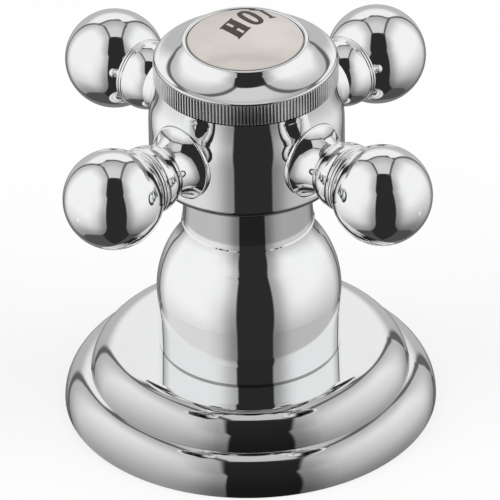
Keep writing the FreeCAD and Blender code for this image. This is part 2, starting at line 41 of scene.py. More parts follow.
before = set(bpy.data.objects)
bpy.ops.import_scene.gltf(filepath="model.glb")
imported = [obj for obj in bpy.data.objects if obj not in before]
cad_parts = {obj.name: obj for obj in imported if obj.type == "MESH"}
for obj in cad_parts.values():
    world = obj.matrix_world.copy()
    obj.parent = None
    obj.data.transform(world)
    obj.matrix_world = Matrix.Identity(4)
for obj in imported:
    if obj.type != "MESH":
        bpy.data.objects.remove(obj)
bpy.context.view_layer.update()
CAP_LOW, CAP_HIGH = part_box("index_cap")
BUTTON_LOW, BUTTON_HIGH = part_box("index_button")
HUB_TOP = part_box("handle_hub")[1].z

PLATED_NODES = ("flange", "bell_sleeve", "handle_hub", "arm_rear_right", "arm_rear_left",
                "arm_front_left", "arm_front_right")
MM = 0.001
SAME_PLACE = 1e-6
SHARP_ANGLE = math.radians(30)


def length(name, description, default):
    return FloatProperty(name=name, description=description, default=default, min=0.0,
                         subtype="DISTANCE", unit="LENGTH", precision=5)


def share(name, description, default):
    return FloatProperty(name=name, description=description, default=default, min=0.0, max=1.0,
                         subtype="FACTOR")


def colour(name, description, default):
    return FloatVectorProperty(name=name, description=description, default=default, size=3,
                               min=0.0, max=1.0, subtype="COLOR")


class TapFinishes(bpy.types.PropertyGroup):
    plate: colour("Plate", "Colour of the chromium plate", (0.90, 0.905, 0.91))
    plate_gloss: share("Plate Roughness", "Roughness of the clean plate", 0.02)
    flange_shade: share("Flange Shade", "Share of the plate's colour left at the flange's dark places", 0.30)
    neck_shade: share("Neck Shade", "Share of the plate's colour left on the neck", 0.62)
    skirt_shade: share("Skirt Shade", "Share of the plate's colour left round the hub's foot", 0.16)
    groove_shade: share("Groove Shade", "Share of the plate's colour left in the knurl's grooves", 0.20)
    knurl_rough: share("Knurl Roughness", "Roughness that the knurl adds to the plate", 0.26)
    porcelain: colour("Porcelain", "Colour of the glazed button", (0.56, 0.52, 0.485))
    # Painted shade: this colour darkens the line round the button where shade falls in the crease, and also
    # tints the button's real specks of dirt.
    shade_and_grime: colour("Grime", "Colour of the line round the button and of its specks", (0.10, 0.09, 0.08))
    lettering: colour("Lettering", "Colour of the fired letters", (0.045, 0.036, 0.030))
    brass: colour("Brass", "Colour of the bare headwork", (0.72, 0.53, 0.25))
    brass_tarnish: colour("Tarnish", "Colour of tarnished brass", (0.42, 0.27, 0.12))
    steel: colour("Stainless Steel", "Colour of the handle screw and its washer", (0.55, 0.55, 0.54))
    spring: colour("Spring Steel", "Colour of the spindle clip", (0.30, 0.30, 0.31))
    alumina: colour("Alumina", "Colour of the ceramic discs", (0.86, 0.86, 0.83))
    rubber: colour("Rubber", "Colour of the seals", (0.018, 0.018, 0.019))
    foam: colour("Foam Rubber", "Colour of the flange's gasket", (0.075, 0.075, 0.08))
    fibre: colour("Fibre", "Colour of the fibre washers", (0.36, 0.055, 0.035))
    nylon: colour("Nylon", "Colour of the bushes", (0.80, 0.785, 0.72))


class TapCapSizes(bpy.types.PropertyGroup):
    teeth: IntProperty(name="Knurl Teeth", description="Teeth round the rim of the cap",
                       default=165, min=24)
    tooth_depth: length("Tooth Depth", "Depth of the knurl", 0.16 * MM)
    rim_gap: length("Rim Gap", "Gap between the hub and the knurled band", 0.1 * MM)
    rim: length("Rim Radius", "Crest of the knurl", 14.2 * MM)
    rim_height: length("Rim Height", "Height of the knurled band", 3.3 * MM)
    rim_edge: length("Rim Edge", "Bevel under the knurled band", 0.12 * MM)
    crest: length("Crest", "Radius of the ridge inside the knurl", 13.45 * MM)
    crest_rise: length("Crest Rise", "How far the ridge stands above the knurl", 0.5 * MM)
    crest_round: length("Crest Round", "Radius of the ridge's outer edge", 0.9 * MM)
    scoop_bend: length("Scoop Bend", "Radius of the hollow's wide part", 11.0 * MM)
    waist: length("Waist", "Radius where the hollow turns up to the lip", 10.83 * MM)
    waist_rise: length("Waist Rise", "Height of the waist above the knurl", 1.87 * MM)
    waist_bend: length("Waist Bend", "Radius of the hollow under the lip", 3.6 * MM)
    lip: length("Lip Radius", "Outer radius of the lip round the button", 9.7 * MM)
    lip_round: length("Lip Round", "Radius of the lip's top", 0.4 * MM)
    lip_crown: share("Lip Crown", "Rise of the lip's top, as a share of its radius", 0.42)
    seat: length("Seat Radius", "Radius of the recess for the button", 9.05 * MM)
    skirt: length("Skirt Radius", "Outer radius of the screwed skirt", 11.94 * MM)
    skirt_wall: length("Skirt Wall", "Wall of the screwed skirt", 1.3 * MM)
    roof: length("Roof", "Thickness of the cap under the button", 1.8 * MM)
    ring_groove: length("Ring Groove", "Depth of the sealing ring's groove", 1.05 * MM)
    ring_height: length("Ring Height", "Height of the sealing ring", 57.2 * MM)
    ring_room: length("Ring Room", "Half the width of the ring's groove", 0.55 * MM)


class TapLetterSizes(bpy.types.PropertyGroup):
    height: length("Letter Height", "Height of the capitals", 4.6 * MM)
    proud: length("Letter Relief", "How far the fired letters stand above the glaze", 0.012 * MM)
    depth: length("Letter Depth", "Thickness of a letter's plate", 0.05 * MM)
    dome_edge: length("Dome Edge", "From the button's outer edge to the edge of its dome", 0.25 * MM)
    dome_foot: length("Dome Foot", "Height of the edge of the button's dome", 64.95 * MM)


class TapStage(bpy.types.PropertyGroup):
    floor: length("Floor", "Half the width of the floor", 3.0)
    floor_colour: colour("Floor Colour", "Colour of the pale floor", (0.86, 0.86, 0.86))
    floor_white: share("Floor White", "Share of plain white that the eye sees in the floor", 0.7)
    softbox: length("Softbox", "Width of each lamp", 0.9)
    distance: length("Camera Distance", "From the camera to the middle of the tap", 1.3)
    elevation: FloatProperty(name="Camera Elevation", description="Angle above the horizon",
                             default=math.radians(32.77), subtype="ANGLE")
    roll: FloatProperty(name="Camera Roll", description="Turn about the line of sight",
                        default=math.radians(0.88), subtype="ANGLE")
    lens: FloatProperty(name="Focal Length", description="Focal length in millimetres",
                        default=606.6, unit="CAMERA")
    target: FloatVectorProperty(name="Aim", description="Point that the camera's axis is fitted about",
                                default=(0.0, 0.0, 0.033), size=3, subtype="XYZ", unit="LENGTH")


# ---------------------------------------------------------------- shader groups

class Wiring:
    """Adds nodes to a tree and joins them."""

    def __init__(self, tree):
        self.tree = tree

    def put(self, value, socket):
        if isinstance(value, bpy.types.NodeSocket):
            self.tree.links.new(value, socket)
        elif value is not None:
            socket.default_value = value

    def maths(self, operation, first, second=None, third=None):
        node = self.tree.nodes.new("ShaderNodeMath")
        node.operation = operation
        for value, socket in zip((first, second, third), node.inputs):
            self.put(value, socket)
        return node.outputs[0]

    def plus(self, first, second):
        return self.maths("ADD", first, second)

    def minus(self, first, second):
        return self.maths("SUBTRACT", first, second)

    def times(self, first, second):
        return self.maths("MULTIPLY", first, second)

    def above(self, first, second):
        return self.maths("GREATER_THAN", first, second)

    def below(self, first, second):
        return self.maths("LESS_THAN", first, second)

    def least(self, first, *others):
        for other in others:
            first = self.maths("MINIMUM", first, other)
        return first

    def most(self, first, *others):
        for other in others:
            first = self.maths("MAXIMUM", first, other)
        return first

    def reach(self, x, y):
        """How far a point at x and y lies from the origin."""
        return self.maths("SQRT", self.plus(self.times(x, x), self.times(y, y)))

    def ramp(self, value, low, high, to_low=0.0, to_high=1.0, smooth=True):
        """From to_low where the value is low to to_high where it is high, and level beyond both."""
        node = self.tree.nodes.new("ShaderNodeMapRange")
        node.interpolation_type = "SMOOTHSTEP" if smooth else "LINEAR"
        for item, socket in zip((value, low, high, to_low, to_high), node.inputs):
            self.put(item, socket)
        return node.outputs[0]

    def noise(self, vector, scale, detail, roughness=0.5):
        node = self.tree.nodes.new("ShaderNodeTexNoise")
        self.put(vector, node.inputs["Vector"])
        self.put(scale, node.inputs["Scale"])
        self.put(detail, node.inputs["Detail"])
        self.put(roughness, node.inputs["Roughness"])
        return node.outputs[0]

    def mix(self, factor, first, second):
        node = self.tree.nodes.new("ShaderNodeMix")
        node.data_type = "RGBA"
        self.put(factor, node.inputs[0])
        self.put(first, node.inputs[6])
        self.put(second, node.inputs[7])
        return node.outputs[2]

    def place(self):
        """Where a point lies on the tap, in metres."""
        return self.tree.nodes.new("ShaderNodeTexCoord").outputs["Object"]

    def stretched(self, vector, scale):
        node = self.tree.nodes.new("ShaderNodeMapping")
        self.put(vector, node.inputs["Vector"])
        node.inputs["Scale"].default_value = scale
        return node.outputs[0]

    def bump(self, height, strength, distance, under=None):
        node = self.tree.nodes.new("ShaderNodeBump")
        self.put(strength, node.inputs["Strength"])
        self.put(distance, node.inputs["Distance"])
        self.put(height, node.inputs["Height"])
        self.put(under, node.inputs["Normal"])
        return node.outputs[0]

    def split(self, vector):
        node = self.tree.nodes.new("ShaderNodeSeparateXYZ")
        self.put(vector, node.inputs[0])
        return node.outputs

    def group(self, made, **values):
        """Place a group; a value's name is its socket's, in small letters with underscores."""
        node = self.tree.nodes.new("ShaderNodeGroup")
        node.node_tree = made
        for name, value in values.items():
            self.put(value, node.inputs[name.replace("_", " ").title()])
        return node.outputs


def new_group(name, inputs, outputs):
    """A shader node group of plain numbers: the group, its wiring, what it is given and what it gives."""
    group = bpy.data.node_groups.new(name, "ShaderNodeTree")
    for label, value in inputs.items():
        socket = group.interface.new_socket(name=label, in_out="INPUT", socket_type="NodeSocketFloat")
        socket.default_value = value
    for label in outputs:
        group.interface.new_socket(name=label, in_out="OUTPUT", socket_type="NodeSocketFloat")
    given = group.nodes.new("NodeGroupInput").outputs
    gives = group.nodes.new("NodeGroupOutput").inputs
    return group, Wiring(group), given, gives


def make_handling():
    """Wiping marks and specks that a handled surface gathers."""
    group, wire, given, gives = new_group("handling_marks", {"Size": 1.0}, ("Smear", "Specks"))
    place = wire.place()
    broad = wire.noise(place, wire.times(given["Size"], 90.0), detail=4.0, roughness=0.55)
    wiped = wire.noise(wire.stretched(place, (1.0, 1.0, 5.0)), wire.times(given["Size"], 260.0),
                       detail=3.0, roughness=0.6)
    fine = wire.noise(place, wire.times(given["Size"], 2600.0), detail=2.0, roughness=0.5)
    wire.put(wire.times(wire.ramp(broad, 0.42, 0.72), wire.ramp(wiped, 0.35, 0.7)), gives["Smear"])
    wire.put(wire.ramp(fine, 0.72, 0.80), gives["Specks"])
    return group


def make_turning():
    """Fine rings that a lathe leaves round an upright axis, and their tarnish."""
    group, wire, given, gives = new_group("turning_marks", {"Pitch": 0.0002}, ("Rings", "Tarnish"))
    place = wire.place()
    x, y, z = wire.split(place)
    along = wire.maths("DIVIDE", wire.plus(wire.reach(x, y), z), given["Pitch"])
    rings = wire.maths("SINE", wire.plus(along, wire.noise(place, 900.0, detail=2.0)))
    wire.put(wire.maths("MULTIPLY_ADD", rings, 0.5, 0.5), gives["Rings"])
    cloudy = wire.noise(place, 140.0, detail=5.0, roughness=0.6)
    wire.put(wire.ramp(cloudy, 0.38, 0.75), gives["Tarnish"])
    return group


def make_thread():
    """The ridges of a screw thread between two heights."""
    group, wire, given, gives = new_group(
        "screw_thread", {"Pitch": 0.0018, "Foot": 0.0, "Top": 0.01, "Least Radius": 0.01}, ("Ridge",))
    x, y, z = wire.split(wire.place())
    turn = wire.maths("DIVIDE", wire.maths("ARCTAN2", y, x), 2 * math.pi)
    rise = wire.minus(wire.maths("DIVIDE", z, given["Pitch"]), turn)
    ridge = wire.maths("PINGPONG", rise, 0.5)
    within = wire.times(wire.above(z, given["Foot"]), wire.below(z, given["Top"]))
    threaded = wire.times(within, wire.above(wire.reach(x, y), given["Least Radius"]))
    wire.put(wire.times(wire.times(ridge, 2.0), threaded), gives["Ridge"])
    return group


def make_grain():
    """Even grain of a moulded, pressed or fired surface."""
    group, wire, given, gives = new_group("even_grain", {"Size": 1.0}, ("Grain", "Mottle"))
    place = wire.place()
    fine = wire.maths("DIVIDE", 1.6, given["Size"])
    broad = wire.maths("DIVIDE", 0.12, given["Size"])
    wire.put(wire.noise(place, fine, detail=4.0, roughness=0.65), gives["Grain"])
    wire.put(wire.noise(place, broad, detail=3.0, roughness=0.5), gives["Mottle"])
    return group


def make_deck_shade():
    """Where the plate stands in shade: steep and forward faces near the deck, the neck, and the
    band round the hub's foot. Each grows from 0, in the open, towards 1."""
    group, wire, given, gives = new_group(
        "deck_shade", {"Low": 0.011, "Neck Radius": 0.0102, "Neck Foot": 0.0336,
                       "Skirt Radius": 0.0132, "Skirt Foot": 0.0417},
        ("Flange", "Neck", "Skirt"))
    x, y, z = wire.split(wire.place())
    reach = wire.reach(x, y)
    _, forward, upward = wire.split(group.nodes.new("ShaderNodeNewGeometry").outputs["Normal"])
    steep = wire.times(wire.ramp(upward, 0.95, 0.10), 0.55)
    front = wire.times(wire.ramp(forward, -0.05, -0.75), 0.25)
    shade = wire.least(wire.plus(wire.plus(steep, front), 0.08), 1.0)
    wire.put(wire.times(wire.below(z, given["Low"]), shade), gives["Flange"])
    neck_soft_edge = wire.plus(given["Neck Foot"], 0.6 * MM)
    above_foot = wire.ramp(z, given["Neck Foot"], neck_soft_edge)
    wire.put(wire.times(wire.below(reach, given["Neck Radius"]), above_foot), gives["Neck"])
    rise = wire.minus(z, given["Skirt Foot"])
    band = wire.times(wire.ramp(rise, 1.5 * MM, 0.9 * MM), wire.above(rise, -0.2 * MM))
    wire.put(wire.times(band, wire.above(reach, given["Skirt Radius"])), gives["Skirt"])
    return group


def make_panel_edge():
    """How far, in degrees, a direction lies outside a panel with round corners."""
    group, wire, given, gives = new_group(
        "soft_panel", {"Bearing": 0.0, "Height": 0.0, "Middle": 90.0, "Half Width": 60.0,
                       "Foot": -58.0, "Top": 68.0, "Corner": 20.0}, ("Outside",))
    foot, top, corner = given["Foot"], given["Top"], given["Corner"]
    off = wire.maths("PINGPONG", wire.minus(given["Bearing"], given["Middle"]), 180.0)
    half = wire.times(wire.minus(top, foot), 0.5)
    centre = wire.times(wire.plus(top, foot), 0.5)
    rise = wire.maths("ABSOLUTE", wire.minus(given["Height"], centre))
    side = wire.plus(wire.minus(off, given["Half Width"]), corner)
    end = wire.plus(wire.minus(rise, half), corner)
    beyond = wire.reach(wire.most(side, 0.0), wire.most(end, 0.0))
    within = wire.least(wire.most(side, end), 0.0)
    wire.put(wire.minus(wire.plus(beyond, within), corner), gives["Outside"])
    return group


GROUP_MAKERS = {"handling_marks": make_handling, "turning_marks": make_turning,
                "screw_thread": make_thread, "even_grain": make_grain,
                "deck_shade": make_deck_shade, "soft_panel": make_panel_edge}


def shader_group(name):
    return bpy.data.node_groups.get(name) or GROUP_MAKERS[name]()


# ---------------------------------------------------------------- materials

def new_finish(name):
    """A node material, its wiring and its Principled BSDF."""
    material = bpy.data.materials.new(name)
    material.use_nodes = True
    return material, Wiring(material.node_tree), material.node_tree.nodes["Principled BSDF"].inputs


def tinted(base, factor):
    return tuple(min(1.0, part * factor) for part in base) + (1.0,)


def polished_plate(finishes, knurl=None):
    """Mirror chromium with wiping marks that only show at a glance. A knurl is shaded in its
    grooves, and plain plate where it stands in shade."""
    material, wire, shader = new_finish("knurled_chromium" if knurl else "polished_chromium")
    marks = wire.group(shader_group("handling_marks"), size=1.0)
    rough = wire.ramp(marks["Smear"], 0.0, 1.0, finishes.plate_gloss, finishes.plate_gloss + 0.035)
    rough = wire.maths("MULTIPLY_ADD", marks["Specks"], 0.05, rough)
    tone = wire.mix(marks["Smear"], tinted(finishes.plate, 1.0), tinted(finishes.plate, 0.97))
    if knurl:
        x, y, _ = wire.split(wire.place())
        reach = wire.reach(x, y)
        toothed = wire.above(reach, knurl.rim - 1.3 * knurl.tooth_depth)
        sunk = wire.ramp(reach, knurl.rim - knurl.tooth_depth, knurl.rim, 1.0, 0.0, smooth=False)
        tone = wire.mix(wire.times(toothed, sunk), tone, tinted(finishes.plate, finishes.groove_shade))
        rough = wire.maths("MULTIPLY_ADD", toothed, finishes.knurl_rough, rough)
    else:
        shade = wire.group(shader_group("deck_shade"))
        tone = wire.mix(shade["Flange"], tone, tinted(finishes.plate, finishes.flange_shade))
        tone = wire.mix(shade["Neck"], tone, tinted(finishes.plate, finishes.neck_shade))
        tone = wire.mix(shade["Skirt"], tone, tinted(finishes.plate, finishes.skirt_shade))
    wire.put(tone, shader["Base Color"])
    wire.put(rough, shader["Roughness"])
    shader["Metallic"].default_value = 1.0
    ripple = wire.noise(wire.place(), 170.0, detail=1.0, roughness=0.4)
    wire.put(wire.bump(ripple, strength=0.5, distance=0.000006), shader["Normal"])
    return material


def glazed_porcelain(finishes):
    """Cloudy cream glaze, with a thin line of painted shade where the button meets the lip."""
    material, wire, shader = new_finish("glazed_porcelain")
    grain = wire.group(shader_group("even_grain"), size=0.0009)
    marks = wire.group(shader_group("handling_marks"), size=0.8)
    cloudy = wire.mix(wire.ramp(grain["Mottle"], 0.35, 0.68), tinted(finishes.porcelain, 0.90),
                      tinted(finishes.porcelain, 1.03))
    x, y, _ = wire.split(wire.place())
    # Painted shade: a dark line in the crease where the button meets the lip stands for the shade there; the
    # specks added to it are real dirt.
    painted_edge_shade = wire.ramp(wire.reach(x, y), 8.78 * MM, 8.90 * MM, 0.0, 0.95)
    shade_and_specks = wire.most(painted_edge_shade, wire.times(marks["Specks"], 0.25))
    wire.put(wire.mix(shade_and_specks, cloudy, tinted(finishes.shade_and_grime, 1.0)), shader["Base Color"])
    wire.put(wire.ramp(marks["Smear"], 0.0, 1.0, 0.07, 0.16), shader["Roughness"])
    shader["Specular IOR Level"].default_value = 0.5
    shader["Coat Weight"].default_value = 0.5
    shader["Coat Roughness"].default_value = 0.04
    wire.put(wire.bump(grain["Mottle"], strength=0.4, distance=0.00001), shader["Normal"])
    return material


def fired_lettering(finishes):
    """Dark brown enamel, a little duller than the glaze."""
    material, wire, shader = new_finish("fired_lettering")
    grain = wire.group(shader_group("even_grain"), size=0.0004)
    wire.put(wire.mix(wire.ramp(grain["Grain"], 0.3, 0.7), tinted(finishes.lettering, 0.8),
                      tinted(finishes.lettering, 1.35)), shader["Base Color"])
    wire.put(wire.ramp(grain["Mottle"], 0.3, 0.7, 0.36, 0.5), shader["Roughness"])
    shader["Specular IOR Level"].default_value = 0.2
    wire.put(wire.bump(grain["Grain"], strength=0.3, distance=0.000008), shader["Normal"])
    return material


def machined_brass(finishes):
    """Turned brass with the ridges of the valve thread."""
    material, wire, shader = new_finish("machined_brass")
    turning = wire.group(shader_group("turning_marks"), pitch=0.00004)
    thread = wire.group(shader_group("screw_thread"), pitch=0.001814, foot=0.0088, top=0.0144,
                        least_radius=0.0098)
    bright = wire.mix(turning["Rings"], tinted(finishes.brass, 0.94), tinted(finishes.brass, 1.05))
    wire.put(wire.mix(wire.times(turning["Tarnish"], 0.5), bright, tinted(finishes.brass_tarnish, 1.0)),
             shader["Base Color"])
    shader["Metallic"].default_value = 1.0
    wire.put(wire.ramp(turning["Tarnish"], 0.0, 1.0, 0.22, 0.42), shader["Roughness"])
    lines = wire.bump(turning["Rings"], strength=0.35, distance=0.000004)
    ridges = wire.bump(thread["Ridge"], strength=1.0, distance=0.0009, under=lines)
    wire.put(ridges, shader["Normal"])
    return material


def turned_steel(name, base, rough):
    """Steel with the rings of the lathe, from its least roughness to 0.12 more."""
    material, wire, shader = new_finish(name)
    turning = wire.group(shader_group("turning_marks"), pitch=0.00003)
    wire.put(wire.mix(turning["Tarnish"], tinted(base, 1.0), tinted(base, 0.82)), shader["Base Color"])
    shader["Metallic"].default_value = 1.0
    wire.put(wire.ramp(turning["Rings"], 0.0, 1.0, rough, rough + 0.12), shader["Roughness"])
    wire.put(wire.bump(turning["Rings"], strength=0.3, distance=0.000004), shader["Normal"])
    return material


def plain_body(name, base, grain_size, smooth, rough, relief, spread, gloss=0.5):
    """A moulded, pressed or fired material with its own grain."""
    material, wire, shader = new_finish(name)
    grain = wire.group(shader_group("even_grain"), size=grain_size)
    wire.put(wire.mix(wire.ramp(grain["Mottle"], 0.3, 0.7), tinted(base, 1.0 - spread),
                      tinted(base, 1.0 + spread)), shader["Base Color"])
    wire.put(wire.ramp(grain["Grain"], 0.25, 0.75, smooth, rough), shader["Roughness"])
    shader["Specular IOR Level"].default_value = gloss
    wire.put(wire.bump(grain["Grain"], strength=0.6, distance=relief), shader["Normal"])
    return material


def dress(material, *nodes):
    """Give CAD nodes a material in place of their own."""
    for node in nodes:
        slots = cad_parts[node].data.materials
        slots.clear()
        slots.append(material)


# ---------------------------------------------------------------- meshes

def finished(mesh, name, body, material):
    """Turn a bmesh into a piece that rides on a body."""
    data = bpy.data.meshes.new(name)
    mesh.to_mesh(data)
    mesh.free()
    data.shade_smooth()
    data.set_sharp_from_angle(angle=SHARP_ANGLE)
    data.materials.append(material)
    piece = bpy.data.objects.new(name, data)
    bpy.context.scene.collection.objects.link(piece)
    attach(piece, body)
    return piece


class Profile:
    """A wire in the XZ plane that grows from point to point."""

    def __init__(self, mesh, reach, height):
        self.mesh = mesh
        self.end = mesh.verts.new((reach, 0.0, height))

    def line(self, reach, height):
        made = bmesh.ops.extrude_vert_indiv(self.mesh, verts=[self.end])
        self.end = made["verts"][0]
        self.end.co = (reach, 0.0, height)

    def arc(self, reach, height, bend, steps):
        """Bend to the left, seen with X to the right and Z up, or to the right if bend is negative."""
        start = self.end.co.copy()
        finish = Vector((reach, 0.0, height))
        chord = finish - start
        across = Vector((-chord.z, 0.0, chord.x)).normalized()
        rise = math.copysign(math.sqrt(max(bend ** 2 - chord.length_squared / 4, 0.0)), bend)
        centre = (start + finish) / 2 + across * rise
        angle = 2 * math.asin(max(-1.0, min(1.0, chord.length / 2 / bend)))
        made = bmesh.ops.spin(self.mesh, geom=[self.end], cent=centre, axis=(0, -1, 0), dvec=(0, 0, 0),
                              angle=angle, steps=steps, use_merge=False, use_normal_flip=False,
                              use_duplicate=False)
        self.end = next(item for item in made["geom_last"] if isinstance(item, bmesh.types.BMVert))


def spun(mesh, steps):
    """Turn the wire of a mesh about the Z axis into a closed skin that faces outwards."""
    bmesh.ops.spin(mesh, geom=mesh.verts[:] + mesh.edges[:], cent=(0, 0, 0), axis=(0, 0, 1),
                   dvec=(0, 0, 0), angle=2 * math.pi, steps=steps, use_merge=True,
                   use_normal_flip=False, use_duplicate=False)
    bmesh.ops.remove_doubles(mesh, verts=mesh.verts, dist=SAME_PLACE)
    bmesh.ops.recalc_face_normals(mesh, faces=mesh.faces)


def knurled(mesh, sizes, steps_per_tooth):
    """Press grooves into the crest of a spun rim, half of each tooth's steps wide."""
    steps = sizes.teeth * steps_per_tooth
    crest = [vert for vert in mesh.verts
             if abs(math.hypot(vert.co.x, vert.co.y) - sizes.rim) < SAME_PLACE]
    for vert in crest:
        turn = math.atan2(vert.co.y, vert.co.x) / (2 * math.pi)
        if round(turn * steps) % steps_per_tooth >= steps_per_tooth // 2:
            outwards = Vector((vert.co.x, vert.co.y, 0.0)).normalized()
            vert.co -= outwards * sizes.tooth_depth


def cap_mesh(sizes):
    """The knurled cap: skirt with its ring's groove, rim, ridge, hollow, lip and button's recess."""
    mesh = bmesh.new()
    skirt_foot = CAP_LOW.z
    rim_foot = HUB_TOP + sizes.rim_gap
    rim_top = rim_foot + sizes.rim_height
    lip_top = CAP_HIGH.z - sizes.lip_round * sizes.lip_crown
    inner = sizes.skirt - sizes.skirt_wall
    groove = sizes.skirt - sizes.ring_groove
    groove_foot = sizes.ring_height - sizes.ring_room
    groove_top = sizes.ring_height + sizes.ring_room
    seat = BUTTON_LOW.z
    wire = Profile(mesh, inner, skirt_foot)
    wire.line(sizes.skirt, skirt_foot)
    wire.line(sizes.skirt, groove_foot)
    wire.line(groove, groove_foot)
    wire.line(groove, groove_top)
    wire.line(sizes.skirt, groove_top)
    wire.line(sizes.skirt, rim_foot)
    wire.line(sizes.rim - sizes.rim_edge - sizes.tooth_depth, rim_foot)
    wire.line(sizes.rim, rim_foot + sizes.rim_edge)
    wire.line(sizes.rim, rim_top)
    wire.arc(sizes.crest, rim_top + sizes.crest_rise, sizes.crest_round, steps=5)
    wire.arc(sizes.waist, rim_top + sizes.waist_rise, -sizes.scoop_bend, steps=8)
    wire.arc(sizes.lip, lip_top, -sizes.waist_bend, steps=8)
    wire.arc(sizes.seat, lip_top, sizes.lip_round, steps=10)
    wire.line(sizes.seat, seat)
    wire.line(0.0, seat)
    wire.line(0.0, seat - sizes.roof)
    wire.line(inner - sizes.skirt_wall, seat - sizes.roof)
    wire.line(inner, seat - sizes.roof - sizes.skirt_wall)
    first = min(mesh.verts, key=lambda vert: (vert.co.z, vert.co.x))
    mesh.edges.new((wire.end, first))
    steps_per_tooth = 4
    spun(mesh, sizes.teeth * steps_per_tooth)
    knurled(mesh, sizes, steps_per_tooth)
    return mesh


def letter_piece(name, draw, centre, along, up, material):
    """A letter drawn flat in its own axes, laid on the dome of the button and given a thickness.
    Its own X and Y lie along two bearings that needn't be square to each other."""
    sizes = bpy.context.scene.tap_letters
    mesh = bmesh.new()
    draw(mesh, sizes.height)
    lean = Matrix(((math.cos(along), math.cos(up), 0.0, centre[0]),
                   (math.sin(along), math.sin(up), 0.0, centre[1]),
                   (0.0, 0.0, 1.0, 0.0),
                   (0.0, 0.0, 0.0, 1.0)))
    bmesh.ops.transform(mesh, matrix=lean, verts=mesh.verts)
    for face in mesh.faces:
        face.normal_update()
        if face.normal.z < 0:
            face.normal_flip()
    edge = BUTTON_HIGH.x - sizes.dome_edge
    crown = BUTTON_HIGH.z - sizes.dome_foot
    bend = (edge ** 2 + crown ** 2) / (2 * crown)
    for vert in mesh.verts:
        away = vert.co.x ** 2 + vert.co.y ** 2
        vert.co.z = BUTTON_HIGH.z - bend + math.sqrt(bend ** 2 - away) + sizes.proud
    made = bmesh.ops.extrude_face_region(mesh, geom=mesh.faces[:])
    lower = [item for item in made["geom"] if isinstance(item, bmesh.types.BMVert)]
    bmesh.ops.translate(mesh, vec=(0.0, 0.0, -sizes.depth), verts=lower)
    bmesh.ops.recalc_face_normals(mesh, faces=mesh.faces)
    finished(mesh, name, "cap", material)


def bar(mesh, left, foot, right, top):
    """One straight stroke, divided so that it can follow the dome."""
    cell = 0.5 * MM
    made = bmesh.ops.create_grid(mesh, x_segments=max(1, round((right - left) / cell)),
                                 y_segments=max(1, round((top - foot) / cell)), size=0.5)
    size = Matrix.Diagonal((right - left, top - foot, 1.0, 1.0))
    place = Matrix.Translation(((left + right) / 2, (foot + top) / 2, 0.0))
    bmesh.ops.transform(mesh, matrix=place @ size, verts=made["verts"])


def draw_h(mesh, height):
    """Two broad stems with slab feet and a thick bar."""
    width = 0.83 * height
    slab = 0.075 * height
    stem = 0.305 * height
    overhang = 0.045 * height
    half_bar = 0.10 * height
    for side in (-1, 1):
        foot = side * (height / 2 - slab / 2)
        bar(mesh, -width / 2, foot - slab / 2, width / 2, foot + slab / 2)
        middle = side * (width / 2 - stem / 2 - overhang)
        bar(mesh, middle - stem / 2, -height / 2 + slab, middle + stem / 2, height / 2 - slab)
    reach = width / 2 - stem - overhang
    bar(mesh, -reach, -half_bar, reach, half_bar)


def oval(mesh, half_width, half_height, fullness):
    """A closed ring of edges; a fullness under 1 makes it squarer than an ellipse."""
    points = bmesh.ops.create_circle(mesh, cap_ends=False, radius=1.0, segments=64)["verts"]
    for vert in points:
        vert.co.x = math.copysign(abs(vert.co.x) ** fullness, vert.co.x)
        vert.co.y = math.copysign(abs(vert.co.y) ** fullness, vert.co.y)
    bmesh.ops.transform(mesh, matrix=Matrix.Diagonal((half_width, half_height, 1.0, 1.0)), verts=points)


def draw_o(mesh, height):
    """A tall narrow letter with thick sides, a little higher than the capitals beside it."""
    height *= 1.19
    oval(mesh, 0.262 * height, height / 2, 0.78)
    oval(mesh, 0.092 * height, 0.35 * height, 0.78)
    bmesh.ops.bridge_loops(mesh, edges=mesh.edges[:])


def draw_t(mesh, height):
    """The stem and its foot."""
    height *= 0.765
    slab = 0.10 * height
    stem = 0.17 * height
    half_foot = 0.16 * height
    bar(mesh, -half_foot, -height / 2, half_foot, -height / 2 + slab)
    bar(mesh, -stem / 2, -height / 2 + slab, stem / 2, height / 2)


def draw_t_bar(mesh, height):
    half_width = 0.185 * height
    half_slab = 0.045 * height
    bar(mesh, -half_width, -half_slab, half_width, half_slab)


# Each letter's middle on the button in millimetres, and the bearings of its own X and Y in degrees.
LETTERS = (("letter_h", draw_h, (-1.50, 1.93), 61.0, 131.0),
           ("letter_o", draw_o, (0.81, 5.43), 45.0, 126.0),
           ("letter_t", draw_t, (3.30, 6.95), 30.0, 124.6),
           ("letter_t_bar", draw_t_bar, (1.45, 8.38), -8.0, 82.0))


# ---------------------------------------------------------------- stage

def make_floor(stage):
    """A pale floor that looks white and keeps the tap's soft shadow."""
    mesh = bmesh.new()
    bmesh.ops.create_grid(mesh, x_segments=1, y_segments=1, size=stage.floor)
    data = bpy.data.meshes.new("floor")
    mesh.to_mesh(data)
    mesh.free()
    floor = bpy.data.objects.new("floor", data)
    bpy.context.scene.collection.objects.link(floor)
    floor.visible_glossy = False
    material, wire, shader = new_finish("pale_floor")
    nodes, links = material.node_tree.nodes, material.node_tree.links
    wire.put(tuple(stage.floor_colour) + (1.0,), shader["Base Color"])
    shader["Roughness"].default_value = 0.9
    shader["Specular IOR Level"].default_value = 0.0
    white = nodes.new("ShaderNodeEmission")
    white.inputs["Strength"].default_value = 1.0
    seen = nodes.new("ShaderNodeLightPath").outputs
    blend = nodes.new("ShaderNodeMixShader")
    shown = wire.most(seen["Is Camera Ray"], seen["Is Glossy Ray"], seen["Is Transmission Ray"])
    links.new(wire.times(shown, stage.floor_white), blend.inputs[0])
    links.new(nodes["Principled BSDF"].outputs[0], blend.inputs[1])
    links.new(white.outputs[0], blend.inputs[2])
    links.new(blend.outputs[0], nodes["Material Output"].inputs[0])
    data.materials.append(material)


